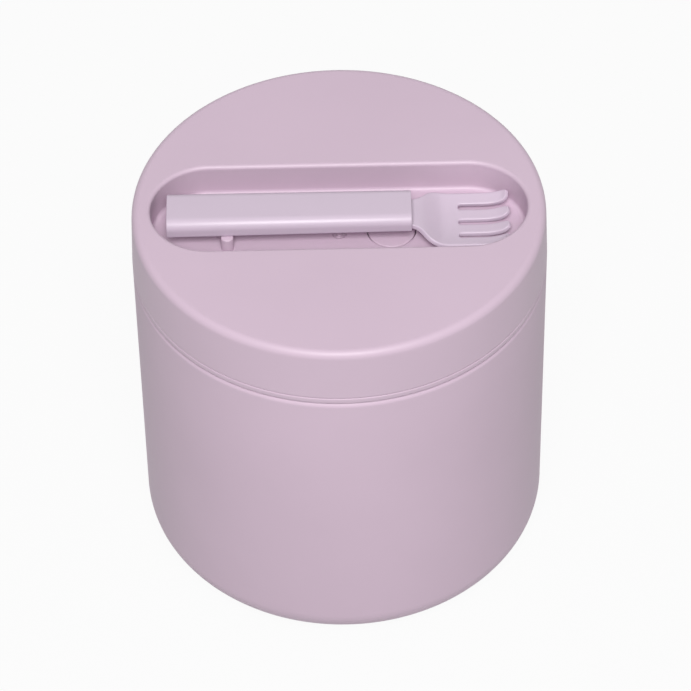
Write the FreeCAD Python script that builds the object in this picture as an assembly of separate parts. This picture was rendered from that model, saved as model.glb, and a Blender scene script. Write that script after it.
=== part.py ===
import FreeCAD, Part
import math
import os

Vector = FreeCAD.Vector

# Insulated food jar with a folding fork in a tray in its lid.
# Millimetres, +Z up, origin at the centre of the base, tray along X, front towards -Y.

# Overall sizes
body_diameter = 118.0
overall_height = 120.0
lid_stack_height = 19.1
base_corner_radius = 10.6

# Steel shells of the jar
steel_wall = 0.6
shoulder_edge_radius = 1.6
vacuum_gap = 3.8
base_flat_width = 2.4
pad_protrusion = 0.5
pad_recess_depth = 1.2
pad_side_clearance = 0.3
plate_rim_width = 2.0
inner_floor_height = 8.0
inner_corner_radius = 8.0
inner_weld_rise = 0.4
neck_bend_radius = 5.0
neck_straight_length = 8.4
foil_thickness = 0.15
foil_end_gap = 0.4
getter_radius = 5.0
getter_height = 2.0
getter_offset = 18.0
seal_hole_radius = 2.0
bead_dome_height = 0.8

# Lugs that hold the lid on the neck
lug_count = 3
neck_collar_wall = 1.4
neck_collar_top_gap = 0.2
neck_lug_reach = 1.6
neck_lug_height = 1.6
neck_lug_angle = 50.0
neck_lug_drop = 0.9
lid_collar_wall = 1.4
lid_lug_reach = 1.6
lid_lug_angle = 40.0
lid_lug_base = 0.6
lug_side_clearance = 0.4
lug_lift_clearance = 0.3
stop_angle = 3.0
stop_clearance_angle = 1.0

# Lid
seam_gap = 0.4
band_height = 1.75
fine_seam = 0.15
lid_wall = 2.05
lid_draft = 0.55
lid_top_thickness = 2.0
lid_edge_radius = 2.2
lid_inner_edge_radius = 1.5
seam_edge_radius = 0.3
collar_fit = 0.15
plug_flange_thickness = 1.0
gasket_thickness = 0.8
gasket_edge_gap = 0.2
gasket_lip_width = 0.6
gasket_lip_depth = 3.0
gasket_fit = 0.1
plug_wall = 1.2
plug_mouth_clearance = 1.0
plug_depth = 16.4
plug_cap_edge_radius = 0.8

# Tray in the lid
tray_end_margin = 5.85
tray_side_room = 4.9
tray_depth = 10.0
tray_wall = 1.8
tray_rim_radius = 1.1
tray_floor_radius = 1.2
gate_radius = 2.1
gate_depth = 0.9
gate_nub_radius = 0.75
gate_back_offset = -1.0

# Vent in the tray floor
vent_from_handle_end = 5.7
vent_button_radius = 6.7
vent_button_thickness = 2.4
vent_button_clearance = 0.3
vent_edge_radius = 0.4
vent_well_wall = 1.2
vent_well_depth = 10.2
vent_channel_radius = 2.6
vent_stem_radius = 1.6
vent_seal_radius = 4.6
vent_seal_thickness = 1.6
vent_foot_radius = 2.4
vent_foot_thickness = 0.8
spring_wire_radius = 0.3
spring_coil_radius = 4.2
spring_turns = 5

# Folding fork
fork_back_offset = 1.0
fork_top_gap = 0.45
handle_end_gap = 4.55
tip_end_gap = 4.95
head_length = 27.7
handle_end_width = 13.5
handle_end_height = 4.7
handle_taper_width = 0.6
handle_taper_height = 0.4
handle_wall = 1.3
handle_edge_radius = 2.9
pin_from_tail = 2.1
pin_radius = 0.8
pin_fit = 0.06
pin_end_cover = 0.6
eye_radius = 1.8
eye_clearance = 0.25
tongue_length = 3.2
shank_thickness = 1.6
shank_side_clearance = 0.3
shank_stop_gap = 0.05
head_thickness = 1.5
head_floor_clearance = 0.25
head_dish = 1.5
neck_dish = 0.05
head_shoulder_length = 5.4
head_drop_length = 7.0
tip_rise = 1.9
tip_rise_length = 6.2
outer_tine_short = 0.5
tine_length = 14.5
slot_width = 2.1
slot_pitch = 5.9
slot_count = 3
post_from_tail = 17.0
post_radius = 1.75
post_overlap = 1.7
post_top_clearance = 0.1

# Steps and margins of the modelling itself
sections_per_stretch = 4
cutting_margin = 1.0
level_tolerance = 0.001

# Radii of the lid's skirt, the collars, the neck and the shells, from the outside in
body_radius = body_diameter / 2
lid_top_radius = body_radius - lid_draft
cover_inner_radius = body_radius - lid_wall
lid_collar_outer_radius = cover_inner_radius - collar_fit
lid_collar_radius = lid_collar_outer_radius - lid_collar_wall
neck_lug_radius = lid_collar_radius - lug_side_clearance
neck_collar_radius = neck_lug_radius - neck_lug_reach
neck_outer_radius = neck_collar_radius - neck_collar_wall
mouth_outer_radius = neck_outer_radius - steel_wall
mouth_radius = mouth_outer_radius - steel_wall
plug_radius = mouth_radius - plug_mouth_clearance
vessel_outer_radius = body_radius - steel_wall - vacuum_gap
vessel_radius = vessel_outer_radius - steel_wall
base_corner_r = body_radius - base_corner_radius
base_opening_radius = base_corner_r - base_flat_width

# Heights of the base, from the ground up
base_corner_z = pad_protrusion + base_corner_radius
plate_top_height = pad_protrusion + pad_recess_depth + steel_wall
inner_corner_z = inner_floor_height + steel_wall + inner_corner_radius
inner_weld_height = inner_corner_z + inner_weld_rise

# Heights of the lid and the rim, from the top down
tray_floor = overall_height - tray_depth
tray_underside = tray_floor - tray_wall
flange_top = tray_underside
flange_bottom = flange_top - plug_flange_thickness
rim_height = flange_bottom - gasket_thickness
shoulder_height = overall_height - lid_stack_height
band_bottom = shoulder_height + seam_gap
band_top = band_bottom + band_height
cover_bottom = band_top + fine_seam
neck_lug_top = rim_height - neck_lug_drop
neck_lug_bottom = neck_lug_top - neck_lug_height
lid_lug_top = neck_lug_bottom - lug_lift_clearance
lid_lug_bottom = band_bottom + lid_lug_base
plug_bottom = rim_height - plug_depth
plug_cap_top = plug_bottom + plug_wall

# Bend where the inner vessel widens below the neck
neck_step = vessel_radius - mouth_radius
neck_turn = math.degrees(math.acos(1 - neck_step / (2 * neck_bend_radius)))
neck_bend_high = rim_height - neck_straight_length
neck_bend_low = neck_bend_high - 2 * neck_bend_radius * math.sin(math.radians(neck_turn))

# Fork, placed between the ends of the tray
tine_width = slot_pitch - slot_width
head_half_width = (slot_count * slot_pitch + tine_width) / 2
tray_half_length = body_radius - tray_end_margin
tray_half_width = head_half_width + fork_back_offset + tray_side_room
handle_left = -tray_half_length + handle_end_gap
tip_x = tray_half_length - tip_end_gap
handle_right = tip_x - head_length
handle_length = handle_right - handle_left
handle_tail_width = handle_end_width + handle_taper_width
handle_tail_height = handle_end_height + handle_taper_height
handle_top = overall_height - fork_top_gap
pin_x = handle_left + pin_from_tail
pin_z = handle_top - handle_wall - eye_clearance - eye_radius
pin_share = pin_from_tail / handle_length
pin_length = handle_tail_width - pin_share * handle_taper_width - 2 * pin_end_cover
eye_width = handle_tail_width - 2 * handle_edge_radius
shank_width = handle_end_width - 2 * handle_wall - 2 * shank_side_clearance
shank_bottom = pin_z - eye_radius - shank_stop_gap
shank_top = shank_bottom + shank_thickness
head_low_top = tray_floor + head_floor_clearance + head_thickness
head_shoulder_x = handle_right + head_shoulder_length
head_drop_x = handle_right + head_drop_length
tip_rise_start = tip_x - tip_rise_length
slot_root_x = tip_x - tine_length + slot_width / 2
post_x = handle_left + post_from_tail

# Vent, placed under the end of the handle
vent_x = handle_right - vent_from_handle_end
vent_bore_radius = vent_button_radius + vent_button_clearance
vent_well_radius = vent_bore_radius + vent_well_wall
vent_well_floor = flange_top - vent_well_depth
vent_channel_outer_radius = vent_channel_radius + vent_well_wall
vent_button_underside = tray_floor - vent_button_thickness


def bend(centre_r, centre_z, radius, from_deg, to_deg):
    """Arc move about a centre: its middle point and its end point."""
    middle = math.radians((from_deg + to_deg) / 2)
    end = math.radians(to_deg)
    return (
        centre_r + radius * math.cos(middle),
        centre_z + radius * math.sin(middle),
        centre_r + radius * math.cos(end),
        centre_z + radius * math.sin(end),
    )


def outline_wire(start, moves, place):
    """Closed wire from a start point and its moves, a line (a, b) or an arc (a, b, a, b)."""
    edges = []
    here = place(*start)
    for move in list(moves) + [start]:
        there = place(*move[-2:])
        if (there - here).Length < Part.Precision.confusion():
            continue
        if len(move) == 2:
            edges.append(Part.LineSegment(here, there).toShape())
        else:
            edges.append(Part.Arc(here, place(*move[:2]), there).toShape())
        here = there
    return Part.Wire(edges)


def lathe(start, *moves):
    """Solid turned about Z from an outline of radius and height."""
    wire = outline_wire(start, moves, lambda r, z: Vector(r, 0, z))
    return Part.Face(wire).revolve(Vector(0, 0, 0), Vector(0, 0, 1), 360)


def disc(radius, low, high, x=0.0, y=0.0):
    """Upright round solid between two heights."""
    return Part.makeCylinder(radius, high - low, Vector(x, y, low))


def ring(inner, outer, low, high, x=0.0, y=0.0):
    """Upright ring between two heights."""
    return disc(outer, low, high, x, y).cut(disc(inner, low, high, x, y))


def sector(inner, outer, low, high, middle_deg, angle_deg):
    """Piece of a ring, centred on a direction."""
    whole = Part.makeCylinder(outer, high - low, Vector(0, 0, low), Vector(0, 0, 1), angle_deg)
    hole = Part.makeCylinder(inner, high - low, Vector(0, 0, low), Vector(0, 0, 1), angle_deg)
    piece = whole.cut(hole)
    piece.rotate(Vector(0, 0, 0), Vector(0, 0, 1), middle_deg - angle_deg / 2)
    return piece


def lug_directions():
    """Directions in which the lugs point, the first along +X."""
    return [index * 360.0 / lug_count for index in range(lug_count)]


def stadium(half_length, half_width, low, high):
    """Upright solid with straight sides and round ends."""
    arc_x = half_length - half_width
    moves = [
        (arc_x, -half_width),
        (half_length, 0, arc_x, half_width),
        (-arc_x, half_width),
        (-half_length, 0, -arc_x, -half_width),
    ]
    wire = outline_wire((-arc_x, -half_width), moves, lambda x, y: Vector(x, y, low))
    return Part.Face(wire).extrude(Vector(0, 0, high - low))


def edges_at(shape, height):
    """Edges of a shape that lie flat at one height."""
    def level(edge):
        box = edge.BoundBox
        return abs(box.ZMin - height) < level_tolerance and abs(box.ZMax - height) < level_tolerance

    return [edge for edge in shape.Edges if level(edge)]


def joined(first, *others):
    """One solid from pieces that touch."""
    return first.multiFuse(list(others)).removeSplitter()


def smooth(value):
    """Ease from 0 to 1 with level ends."""
    limited = min(max(value, 0.0), 1.0)
    return (1 - math.cos(math.pi * limited)) / 2


# Outer steel shell, drawn in one piece from the base opening to the rim
def make_outer_shell():
    inner_corner = base_corner_radius - steel_wall
    edge_r = body_radius - shoulder_edge_radius
    edge_z = shoulder_height - shoulder_edge_radius
    inner_edge = shoulder_edge_radius - steel_wall
    return lathe(
        (base_opening_radius, pad_protrusion),
        (base_corner_r, pad_protrusion),
        bend(base_corner_r, base_corner_z, base_corner_radius, -90, 0),
        (body_radius, edge_z),
        bend(edge_r, edge_z, shoulder_edge_radius, 0, 90),
        (neck_outer_radius, shoulder_height),
        (neck_outer_radius, rim_height),
        (mouth_outer_radius, rim_height),
        (mouth_outer_radius, shoulder_height - steel_wall),
        (edge_r, shoulder_height - steel_wall),
        bend(edge_r, edge_z, inner_edge, 90, 0),
        (body_radius - steel_wall, base_corner_z),
        bend(base_corner_r, base_corner_z, inner_corner, 0, -90),
        (base_opening_radius, pad_protrusion + steel_wall),
    )


# Steel plate that closes the base, dished upwards for the pad
def make_base_plate():
    rim_low = pad_protrusion
    rim_high = rim_low + steel_wall
    dish_low = rim_low + pad_recess_depth
    dish_radius = base_opening_radius - plate_rim_width
    return lathe(
        (seal_hole_radius, dish_low),
        (dish_radius, dish_low),
        (dish_radius, rim_low),
        (base_opening_radius, rim_low),
        (base_opening_radius, rim_high),
        (dish_radius + steel_wall, rim_high),
        (dish_radius + steel_wall, plate_top_height),
        (seal_hole_radius, plate_top_height),
    )


# Bead that seals the hole through which the air was drawn out
def make_seal_bead():
    low = plate_top_height - steel_wall
    dome_radius = (seal_hole_radius ** 2 + bead_dome_height ** 2) / (2 * bead_dome_height)
    half_angle = math.degrees(math.asin(seal_hole_radius / dome_radius))
    dome_centre = plate_top_height + bead_dome_height - dome_radius
    return lathe(
        (0, low),
        (seal_hole_radius, low),
        (seal_hole_radius, plate_top_height),
        bend(0, dome_centre, dome_radius, 90 - half_angle, 90),
    )


# Pill on the base plate that keeps the vacuum clean
def make_getter():
    return disc(getter_radius, plate_top_height, plate_top_height + getter_height, getter_offset)


# Soft pad that the jar stands on
def make_base_pad():
    radius = base_opening_radius - plate_rim_width - pad_side_clearance
    pad = disc(radius, 0, pad_protrusion + pad_recess_depth)
    return pad.makeFillet(seam_edge_radius, edges_at(pad, 0))


# Inner steel vessel, from the weld above the floor to the rim
def make_inner_vessel():
    turn = neck_turn
    high = neck_bend_high
    low = neck_bend_low
    outside_bend = neck_bend_radius + steel_wall
    inside_bend = neck_bend_radius - steel_wall
    lower_r = vessel_radius - neck_bend_radius
    upper_r = mouth_radius + neck_bend_radius
    return lathe(
        (vessel_radius, inner_weld_height),
        (vessel_outer_radius, inner_weld_height),
        (vessel_outer_radius, low),
        bend(lower_r, low, outside_bend, 0, turn),
        bend(upper_r, high, inside_bend, 180 + turn, 180),
        (mouth_outer_radius, rim_height),
        (mouth_radius, rim_height),
        (mouth_radius, high),
        bend(upper_r, high, neck_bend_radius, 180, 180 + turn),
        bend(lower_r, low, neck_bend_radius, turn, 0),
    )


# Dished steel floor welded to the inner vessel
def make_inner_bottom():
    outside_corner = inner_corner_radius + steel_wall
    centre_r = vessel_radius - inner_corner_radius
    centre_z = inner_corner_z
    return lathe(
        (0, inner_floor_height),
        (centre_r, inner_floor_height),
        bend(centre_r, centre_z, outside_corner, -90, 0),
        (vessel_outer_radius, inner_weld_height),
        (vessel_radius, inner_weld_height),
        (vessel_radius, centre_z),
        bend(centre_r, centre_z, inner_corner_radius, 0, -90),
        (0, inner_floor_height + steel_wall),
    )


# Foil wrapped round the inner vessel
def make_copper_foil():
    low = inner_weld_height + foil_end_gap
    high = neck_bend_low - foil_end_gap
    return ring(vessel_outer_radius, vessel_outer_radius + foil_thickness, low, high)


# Moulded collar pressed on the steel neck, with lugs and their stops
def make_neck_collar():
    inner = neck_outer_radius
    outer = neck_lug_radius
    stop_middle = -(lid_lug_angle / 2 + stop_clearance_angle + stop_angle / 2)
    pieces = []
    for direction in lug_directions():
        pieces.append(sector(inner, outer, neck_lug_bottom, neck_lug_top, direction, neck_lug_angle))
        stop_direction = direction + stop_middle
        pieces.append(sector(inner, outer, lid_lug_bottom, neck_lug_bottom, stop_direction, stop_angle))
    collar = ring(inner, neck_collar_radius, shoulder_height, rim_height - neck_collar_top_gap)
    return joined(collar, *pieces)


# Lid collar: the visible band, the wall inside the cover and the lugs
def make_lid_collar():
    band = ring(lid_collar_radius, body_radius, band_bottom, band_top)
    outer_edges = [edge for edge in band.Edges if edge.Length > 2 * math.pi * cover_inner_radius]
    band = band.makeFillet(seam_edge_radius, outer_edges)
    wall = ring(lid_collar_radius, lid_collar_outer_radius, band_bottom, flange_bottom)
    inner = lid_collar_radius - lid_lug_reach
    outer = lid_collar_radius
    lugs = []
    for direction in lug_directions():
        lugs.append(sector(inner, outer, lid_lug_bottom, lid_lug_top, direction, lid_lug_angle))
    return joined(band, wall, *lugs)


# Lid cover: skirt, top and tray
def make_lid_cover():
    cover_height = overall_height - cover_bottom
    cover = Part.makeCone(body_radius, lid_top_radius, cover_height, Vector(0, 0, cover_bottom))
    cover = cover.makeFillet(lid_edge_radius, edges_at(cover, overall_height))
    cover = cover.makeFillet(seam_edge_radius, edges_at(cover, cover_bottom))
    inside_top = overall_height - lid_top_thickness
    hollow = disc(cover_inner_radius, cover_bottom, inside_top)
    hollow = hollow.makeFillet(lid_inner_edge_radius, edges_at(hollow, inside_top))
    cover = cover.cut(hollow)
    outer_length = tray_half_length + tray_wall
    outer_width = tray_half_width + tray_wall
    outside = stadium(outer_length, outer_width, tray_underside, overall_height)
    inside = stadium(tray_half_length, tray_half_width, tray_floor, overall_height)
    inside = inside.makeFillet(tray_floor_radius, edges_at(inside, tray_floor))
    cover = joined(cover, outside).cut(inside)
    widest = tray_half_length + level_tolerance
    rim = [edge for edge in edges_at(cover, overall_height) if edge.BoundBox.XMax < widest]
    cover = cover.makeFillet(tray_rim_radius, rim)
    cover = cover.cut(disc(vent_bore_radius, tray_underside, tray_floor, vent_x))
    cover = cover.cut(disc(gate_radius, tray_floor - gate_depth, tray_floor, 0, gate_back_offset))
    nub = disc(gate_nub_radius, tray_floor - gate_depth, tray_floor, 0, gate_back_offset)
    return joined(cover, nub, *make_fork_posts())


# Posts in the tray that carry the two edges of the fork handle
def make_fork_posts():
    share = (post_x - handle_left) / handle_length
    width = handle_tail_width + share * (handle_end_width - handle_tail_width)
    height = handle_tail_height + share * (handle_end_height - handle_tail_height)
    top = handle_top - height - post_top_clearance
    reach = width / 2 - post_overlap + post_radius
    posts = []
    for side in (-1, 1):
        posts.append(disc(post_radius, tray_underside, top, post_x, fork_back_offset + side * reach))
    return posts


# Insulated plug: flange, wall and the well of the vent
def make_lid_plug():
    flange = disc(lid_collar_outer_radius, flange_bottom, flange_top)
    wall = ring(plug_radius - plug_wall, plug_radius, plug_cap_top, flange_bottom)
    well = disc(vent_well_radius, vent_well_floor - vent_well_wall, flange_bottom, vent_x)
    channel = disc(vent_channel_outer_radius, plug_cap_top, vent_well_floor, vent_x)
    plug = joined(flange, wall, well, channel)
    plug = plug.cut(disc(vent_bore_radius, vent_well_floor, flange_top, vent_x))
    return plug.cut(disc(vent_channel_radius, plug_cap_top, vent_well_floor, vent_x))


# Cap that closes the plug from below
def make_plug_cap():
    cap = disc(plug_radius, plug_bottom, plug_cap_top)
    cap = cap.makeFillet(plug_cap_edge_radius, edges_at(cap, plug_bottom))
    return cap.cut(disc(vent_channel_radius, plug_bottom, plug_cap_top, vent_x))


# Insulating foam inside the plug
def make_plug_foam():
    foam = disc(plug_radius - plug_wall, plug_cap_top, flange_bottom)
    foam = foam.cut(disc(vent_well_radius, vent_well_floor - vent_well_wall, flange_bottom, vent_x))
    return foam.cut(disc(vent_channel_outer_radius, plug_cap_top, vent_well_floor, vent_x))


# Seal on the rim with a lip that wipes the mouth
def make_lid_gasket():
    inner = plug_radius + gasket_fit
    lip_radius = inner + gasket_lip_width
    outer = neck_collar_radius - gasket_edge_gap
    return lathe(
        (inner, rim_height - gasket_lip_depth),
        (lip_radius, rim_height - gasket_lip_depth),
        (lip_radius, rim_height),
        (outer, rim_height),
        (outer, flange_bottom),
        (inner, flange_bottom),
    )


# Vent button, its stem and the foot that holds the seal
def make_vent_button():
    button = disc(vent_button_radius, vent_button_underside, tray_floor, vent_x)
    button = button.makeFillet(vent_edge_radius, edges_at(button, tray_floor))
    stem_low = plug_bottom - vent_seal_thickness - vent_foot_thickness
    stem = disc(vent_stem_radius, stem_low, vent_button_underside, vent_x)
    foot = disc(vent_foot_radius, stem_low, stem_low + vent_foot_thickness, vent_x)
    return joined(button, stem, foot)


# Soft seal that closes the vent from below
def make_vent_seal():
    return ring(vent_stem_radius, vent_seal_radius, plug_bottom - vent_seal_thickness, plug_bottom, vent_x)


# Spring that returns the vent button
def make_vent_spring():
    low = vent_well_floor + spring_wire_radius
    length = vent_button_underside - spring_wire_radius - low
    rise = length / (2 * spring_turns)
    side_radius = math.hypot(spring_coil_radius, rise / 2)
    arcs = []
    for half_turn in range(2 * spring_turns):
        side = 1 if half_turn % 2 == 0 else -1
        start = Vector(side * spring_coil_radius, 0, half_turn * rise)
        middle = Vector(0, side * side_radius, (half_turn + 0.5) * rise)
        end = Vector(-side * spring_coil_radius, 0, (half_turn + 1) * rise)
        arcs.append(Part.Arc(start, middle, end).toShape())
    section = Part.Wire(Part.makeCircle(spring_wire_radius, arcs[0].Vertexes[0].Point, Vector(0, 1, 0)))
    coil = Part.Wire(arcs).makePipeShell([section], True, False)
    coil.translate(Vector(vent_x, 0, low))
    return coil


# Fork handle: a channel, open below, a little wider and deeper at its tail
def handle_section(x, width, height):
    half = width / 2
    top_z = handle_top
    low_z = handle_top - height
    outer = handle_edge_radius
    inner = handle_edge_radius - handle_wall
    corner = half - outer
    corner_z = top_z - outer
    moves = [
        (-half, corner_z),
        bend(-corner, corner_z, outer, 180, 90),
        (corner, top_z),
        bend(corner, corner_z, outer, 90, 0),
        (half, low_z),
        (half - handle_wall, low_z),
        (half - handle_wall, corner_z),
        bend(corner, corner_z, inner, 0, 90),
        (-corner, top_z - handle_wall),
        bend(-corner, corner_z, inner, 90, 180),
        (-half + handle_wall, low_z),
    ]
    return outline_wire((-half, low_z), moves, lambda y, z: Vector(x, fork_back_offset + y, z))


def across_fork(radius, width, x, z):
    """Round bar across the fork."""
    start = Vector(x, fork_back_offset - width / 2, z)
    return Part.makeCylinder(radius, width, start, Vector(0, 1, 0))


def make_fork_handle():
    tail = handle_section(handle_left, handle_tail_width, handle_tail_height)
    end = handle_section(handle_right, handle_end_width, handle_end_height)
    handle = Part.makeLoft([tail, end], True, True)
    return handle.cut(across_fork(pin_radius, pin_length, pin_x, pin_z))


def make_fork_pin():
    return across_fork(pin_radius, pin_length, pin_x, pin_z)


# Fork head: a dished slab that drops to the tray floor, cut to its plan shape
def head_slab():
    stretches = [handle_right, head_drop_x, tip_rise_start, tip_x + cutting_margin]
    section_x = [handle_right]
    for low_x, high_x in zip(stretches, stretches[1:]):
        step = (high_x - low_x) / sections_per_stretch
        section_x += [low_x + step * (index + 1) for index in range(sections_per_stretch)]
    wires = []
    for x in section_x:
        drop = smooth((x - handle_right) / (head_drop_x - handle_right))
        rise = tip_rise * (max(x - tip_rise_start, 0) / (tip_x - tip_rise_start)) ** 2
        top = shank_top + drop * (head_low_top - shank_top) + rise
        dish = neck_dish + drop * (head_dish - neck_dish)
        under = top - head_thickness
        half = head_half_width + cutting_margin
        moves = [
            (half, under + dish),
            (half, top + dish),
            (0, top, -half, top + dish),
            (-half, under + dish),
            (0, under, half, under + dish),
        ]
        start = (half, under + dish)
        place = lambda y, z: Vector(x, fork_back_offset + y, z)
        wires.append(outline_wire(start, moves, place))
    return Part.makeLoft(wires, True, False)


def head_plan():
    """Upright solid with the outline of the palm and its tines."""
    low = tray_floor - cutting_margin
    high = overall_height + cutting_margin
    neck_half = shank_width / 2
    control_x = (handle_right + head_shoulder_x) / 2
    curves = []
    for side in (1, -1):
        poles = [
            Vector(handle_right, side * neck_half, low),
            Vector(control_x, side * neck_half, low),
            Vector(control_x, side * head_half_width, low),
            Vector(head_shoulder_x, side * head_half_width, low),
        ]
        curve = Part.BezierCurve()
        curve.setPoles(poles)
        curves.append(curve.toShape())
    back, front = curves
    corners = [
        Vector(head_shoulder_x, head_half_width, low),
        Vector(slot_root_x, head_half_width, low),
        Vector(slot_root_x, -head_half_width, low),
        Vector(head_shoulder_x, -head_half_width, low),
    ]
    sides = [Part.LineSegment(a, b).toShape() for a, b in zip(corners, corners[1:])]
    neck = Part.LineSegment(curves[1].Vertexes[0].Point, curves[0].Vertexes[0].Point).toShape()
    wire = Part.Wire(Part.sortEdges([back, *sides, front, neck])[0])
    plan = Part.Face(wire).extrude(Vector(0, 0, high - low))
    tines = []
    for index in range(slot_count + 1):
        offset = (index - slot_count / 2) * slot_pitch
        shorter = outer_tine_short if index in (0, slot_count) else 0
        round_x = tip_x - shorter - tine_width / 2
        corner = Vector(slot_root_x, offset - tine_width / 2, low)
        tines.append(Part.makeBox(round_x - slot_root_x, tine_width, high - low, corner))
        tines.append(disc(tine_width / 2, low, high, round_x, offset))
    plan = joined(plan, *tines)
    for index in range(slot_count):
        offset = (index - (slot_count - 1) / 2) * slot_pitch
        plan = plan.cut(disc(slot_width / 2, low, high, slot_root_x, offset))
    plan.translate(Vector(0, fork_back_offset, 0))
    return plan


def make_fork_head():
    low = shank_bottom
    shank_x = pin_x + tongue_length
    tongue_corner = Vector(pin_x, fork_back_offset - eye_width / 2, low)
    tongue = Part.makeBox(tongue_length, eye_width, shank_thickness, tongue_corner)
    corner = Vector(shank_x, fork_back_offset - shank_width / 2, low)
    shank = Part.makeBox(handle_right - shank_x, shank_width, shank_thickness, corner)
    eye = across_fork(eye_radius, eye_width, pin_x, pin_z)
    head = head_slab().common(head_plan())
    fork = joined(shank, tongue, eye, head)
    return fork.cut(across_fork(pin_radius + pin_fit, 2 * eye_width, pin_x, pin_z))


makers = {
    "outer_shell": make_outer_shell,
    "base_plate": make_base_plate,
    "seal_bead": make_seal_bead,
    "getter": make_getter,
    "base_pad": make_base_pad,
    "inner_vessel": make_inner_vessel,
    "inner_bottom": make_inner_bottom,
    "copper_foil": make_copper_foil,
    "neck_collar": make_neck_collar,
    "lid_gasket": make_lid_gasket,
    "lid_collar": make_lid_collar,
    "lid_cover": make_lid_cover,
    "lid_plug": make_lid_plug,
    "plug_cap": make_plug_cap,
    "plug_foam": make_plug_foam,
    "vent_button": make_vent_button,
    "vent_seal": make_vent_seal,
    "vent_spring": make_vent_spring,
    "fork_handle": make_fork_handle,
    "fork_pin": make_fork_pin,
    "fork_head": make_fork_head,
}

os.makedirs("parts", exist_ok=True)
for name, make in makers.items():
    shape = make()
    shape.exportStep("parts/" + name + ".step")
    print(f"{name}: {len(shape.Solids)} solid, {shape.Volume:.1f} mm3, valid {shape.isValid()}")
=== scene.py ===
# %% [markdown]
# # An insulated food jar with a fork in its lid
#
# This lesson dresses a imported model of a food jar in Blender. The imported model is the frame: it holds
# every piece at its real size. Each step says what a piece is on the real jar, how it could be made,
# and why it is made this way.
#
# The first cell loads the frame and moves each piece's place into its mesh.

# %% Load the frame
import math

import bmesh
import bpy
from mathutils import Matrix, Vector


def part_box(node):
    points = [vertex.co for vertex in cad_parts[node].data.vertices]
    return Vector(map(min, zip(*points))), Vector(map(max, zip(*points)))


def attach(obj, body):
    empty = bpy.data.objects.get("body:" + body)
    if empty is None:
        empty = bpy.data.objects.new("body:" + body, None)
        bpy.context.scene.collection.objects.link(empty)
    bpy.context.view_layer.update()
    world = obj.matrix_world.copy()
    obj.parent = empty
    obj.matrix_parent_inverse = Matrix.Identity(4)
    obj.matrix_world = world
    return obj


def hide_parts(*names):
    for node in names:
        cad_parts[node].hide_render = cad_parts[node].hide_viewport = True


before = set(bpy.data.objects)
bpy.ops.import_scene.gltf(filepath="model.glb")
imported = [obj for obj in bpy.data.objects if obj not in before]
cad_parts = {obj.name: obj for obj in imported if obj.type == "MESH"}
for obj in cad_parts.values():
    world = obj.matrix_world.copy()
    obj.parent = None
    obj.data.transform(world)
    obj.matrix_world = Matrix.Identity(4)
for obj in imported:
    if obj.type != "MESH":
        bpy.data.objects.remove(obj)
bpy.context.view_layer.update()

MM = 0.001
TAU = 2 * math.pi
print("nodes:", sorted(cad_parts))

# %% [markdown]
# ## Tools for the bench
#
# All the pieces are made with Blender's own modelling tools, used from code. A tool acts on whatever is
# selected, so the first helpers clear the selection, open a piece for editing and pick out its edges,
# faces or points by their place.

# %% Helpers that select and edit
def deselect_all():
    """Close any edit and let go of everything."""
    if bpy.context.mode != "OBJECT":
        bpy.ops.object.mode_set(mode="OBJECT")
    bpy.ops.object.select_all(action="DESELECT")


def take(piece):
    """Make one piece the only one in hand."""
    deselect_all()
    piece.select_set(True)
    bpy.context.view_layer.objects.active = piece


def everything():
    """Select all of the mesh in hand."""
    bpy.ops.mesh.select_all(action="SELECT")


def settle():
    """Move a piece's place, turn and size into its mesh."""
    bpy.ops.object.transform_apply(location=True, rotation=True, scale=True)


def edit(piece, kind="VERT"):
    """Open a piece for editing with nothing selected."""
    take(piece)
    bpy.ops.object.mode_set(mode="EDIT")
    bpy.ops.mesh.select_mode(type=kind)
    bpy.ops.mesh.select_all(action="DESELECT")


def pick(kind, test, keep=False):
    """Select the points, edges or faces whose corner places all pass a test."""
    mesh = bmesh.from_edit_mesh(bpy.context.edit_object.data)
    if not keep:
        bpy.ops.mesh.select_all(action="DESELECT")
    chosen = 0
    for item in getattr(mesh, kind):
        places = [item.co] if kind == "verts" else [vert.co for vert in item.verts]
        if all(test(place) for place in places):
            item.select_set(True)
            chosen += 1
    mesh.select_flush(True)
    bmesh.update_edit_mesh(bpy.context.edit_object.data)
    return chosen


def pick_faces(test):
    """Select the faces whose middle and normal pass a test."""
    bpy.ops.mesh.select_mode(type="FACE")
    bpy.ops.mesh.select_all(action="DESELECT")
    mesh = bmesh.from_edit_mesh(bpy.context.edit_object.data)
    chosen = 0
    for face in mesh.faces:
        if test(face.calc_center_median(), face.normal):
            face.select_set(True)
            chosen += 1
    bmesh.update_edit_mesh(bpy.context.edit_object.data)
    return chosen


def held_points():
    """Numbers and places of the points in hand."""
    mesh = bmesh.from_edit_mesh(bpy.context.edit_object.data)
    return [(vert.index, vert.co.copy()) for vert in mesh.verts if vert.select]


def hold(numbers):
    """Take points by their numbers, and nothing else."""
    bpy.ops.mesh.select_mode(type="VERT")
    bpy.ops.mesh.select_all(action="DESELECT")
    mesh = bmesh.from_edit_mesh(bpy.context.edit_object.data)
    mesh.verts.ensure_lookup_table()
    for number in numbers:
        mesh.verts[number].select_set(True)
    mesh.select_flush(True)
    bmesh.update_edit_mesh(bpy.context.edit_object.data)


def move(x=0.0, y=0.0, z=0.0):
    """Move what is in hand, in mm."""
    bpy.ops.transform.translate(value=(x * MM, y * MM, z * MM))


def scale(factors, center):
    """Scale what is in hand about a place, in mm."""
    bpy.ops.transform.resize(value=factors, center_override=[part * MM for part in center])


def pull(x=0.0, y=0.0, z=0.0):
    """Extrude what is in hand and move the new end, in mm."""
    bpy.ops.mesh.extrude_region_move(TRANSFORM_OT_translate={"value": (x * MM, y * MM, z * MM)})


def near(a, b, slack=0.02):
    """Whether a measure in metres agrees with one in mm."""
    return abs(a / MM - b) < slack


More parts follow.
